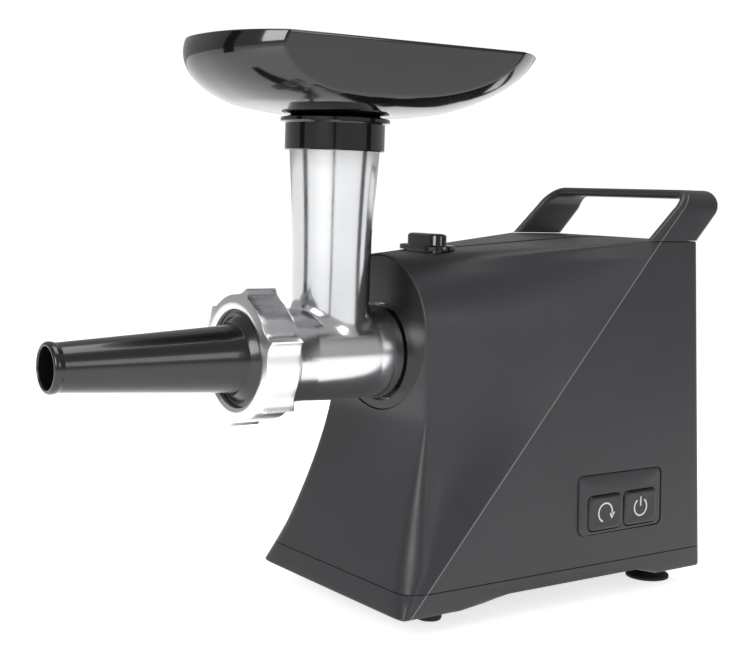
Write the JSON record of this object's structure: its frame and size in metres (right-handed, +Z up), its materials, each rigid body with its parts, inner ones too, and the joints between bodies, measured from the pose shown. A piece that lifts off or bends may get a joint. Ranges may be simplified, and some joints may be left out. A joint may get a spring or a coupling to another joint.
{
  "type": "electric meat grinder",
  "caption": "Electric meat grinder: charcoal motor housing with carry handle and base, cast aluminium grinding head, hopper tray and sausage stuffing tube held by a lobed ring nut.",
  "frame": {"origin": "on the table, under the middle of the whole appliance", "axes": "+Z up; -Y towards the outlet of the grinding head; +X the side with the push buttons"},
  "size_m": [0.1412, 0.4044, 0.31],
  "materials": {
    "charcoal_plastic": "fine matt grain, satin highlights",
    "dark_plastic": "satin",
    "gloss_black": "high gloss",
    "satin_black": "semi-gloss",
    "cast_aluminium": "polished casting",
    "steel": "turned, satin",
    "laminations": "varnished laminations",
    "copper": "enamelled copper",
    "brass": "satin",
    "rubber": "matt",
    "white_nylon": "satin",
    "board_green": "solder resist"
  },
  "bodies": {
    "motor_unit": {"main_housing": "charcoal_plastic", "carry_handle": "charcoal_plastic", "base_cover": "charcoal_plastic", "button_panel": "charcoal_plastic", "front_plate": "dark_plastic", "lock_bezel": "gloss_black", "switch_block": "satin_black", "head_socket": "cast_aluminium", "gearbox_cover": "cast_aluminium", "motor_front_bracket": "cast_aluminium", "motor_rear_bracket": "cast_aluminium", "lock_spring": "steel", "base_screw_1": "steel", "base_screw_2": "steel", "base_screw_3": "steel", "base_screw_4": "steel", "stator_core": "laminations", "field_coil_upper": "copper", "field_coil_lower": "copper", "first_shaft_front_bush": "brass", "first_shaft_rear_bush": "brass", "second_shaft_front_bush": "brass", "second_shaft_rear_bush": "brass", "output_front_bush": "brass", "output_rear_bush": "brass", "motor_front_bearing": "brass", "motor_rear_bearing": "brass", "brush_left": "brass", "brush_right": "brass", "front_foot_right": "rubber", "rear_foot_right": "rubber", "front_foot_left": "rubber", "rear_foot_left": "rubber", "cord_gland": "rubber", "gearbox_case": "white_nylon", "control_board": "board_green"},
    "motor_rotor": {"motor_shaft": "steel", "motor_pinion": "steel", "armature": "laminations", "commutator": "copper", "cooling_fan": "white_nylon"},
    "first_gear": {"first_shaft": "steel", "first_wheel": "white_nylon", "second_pinion": "steel"},
    "second_gear": {"second_shaft": "steel", "second_wheel": "white_nylon", "third_pinion": "steel"},
    "output_drive": {"output_shaft": "steel", "output_wheel": "steel", "auger": "cast_aluminium"},
    "grinding_head": {"head_casting": "cast_aluminium", "auger_bush": "white_nylon"},
    "tray": {"meat_tray": "gloss_black"},
    "stuffer": {"stuffing_tube": "satin_black", "separator_disc": "satin_black"},
    "nut": {"ring_nut": "cast_aluminium"},
    "reverse_key": {"reverse_button": "dark_plastic"},
    "power_key": {"power_button": "dark_plastic"},
    "lock_key": {"lock_button": "gloss_black"}
  },
  "joints": [
    {"name": "motor_spin", "type": "hinge", "parent": "motor_unit", "child": "motor_rotor", "pos_m": [0, 0.09715, 0.06887], "axis": [0, 1, 0], "continuous": true},
    {"name": "first_gear_spin", "type": "hinge", "parent": "motor_unit", "child": "first_gear", "pos_m": [0.01652, 0.04315, 0.0983], "axis": [0, 1, 0], "continuous": true},
    {"name": "second_gear_spin", "type": "hinge", "parent": "motor_unit", "child": "second_gear", "pos_m": [-0.0159, 0.04315, 0.1101], "axis": [0, 1, 0], "continuous": true},
    {"name": "auger_spin", "type": "hinge", "parent": "motor_unit", "child": "output_drive", "pos_m": [0, 0.01315, 0.1442], "axis": [0, 1, 0], "continuous": true},
    {"name": "head_twist", "type": "hinge", "parent": "motor_unit", "child": "grinding_head", "pos_m": [0, 0.00315, 0.1442], "axis": [0, -1, 0], "range_deg": [0, 45]},
    {"name": "tray_lift", "type": "slide", "parent": "grinding_head", "child": "tray", "axis": [0, 0, 1], "range_m": [0, 0.018]},
    {"name": "stuffer_draw", "type": "slide", "parent": "grinding_head", "child": "stuffer", "axis": [0, -1, 0], "range_m": [0, 0.006]},
    {"name": "nut_turn", "type": "hinge", "parent": "stuffer", "child": "nut", "pos_m": [0, -0.08885, 0.1442], "axis": [0, -1, 0], "range_deg": [0, 720]},
    {"name": "reverse_press", "type": "slide", "parent": "motor_unit", "child": "reverse_key", "axis": [-1, 0, 0], "range_m": [0, 0.0025], "stiffness_N_per_m": 600, "springref_m": -0.001},
    {"name": "power_press", "type": "slide", "parent": "motor_unit", "child": "power_key", "axis": [-1, 0, 0], "range_m": [0, 0.0025], "stiffness_N_per_m": 600, "springref_m": -0.001},
    {"name": "lock_press", "type": "slide", "parent": "motor_unit", "child": "lock_key", "axis": [0, 0, -1], "range_m": [0, 0.004], "stiffness_N_per_m": 500, "springref_m": -0.002, "deforming": ["lock_spring"]}
  ],
  "couplings": [
    {"joint": "first_gear_spin", "follows": "motor_spin", "ratio": -0.22727},
    {"joint": "second_gear_spin", "follows": "motor_spin", "ratio": 0.063131},
    {"joint": "auger_spin", "follows": "motor_spin", "ratio": -0.019131},
    {"joint": "stuffer_draw", "follows": "nut_turn", "m_per_rad": 0.00047746}
  ]
}
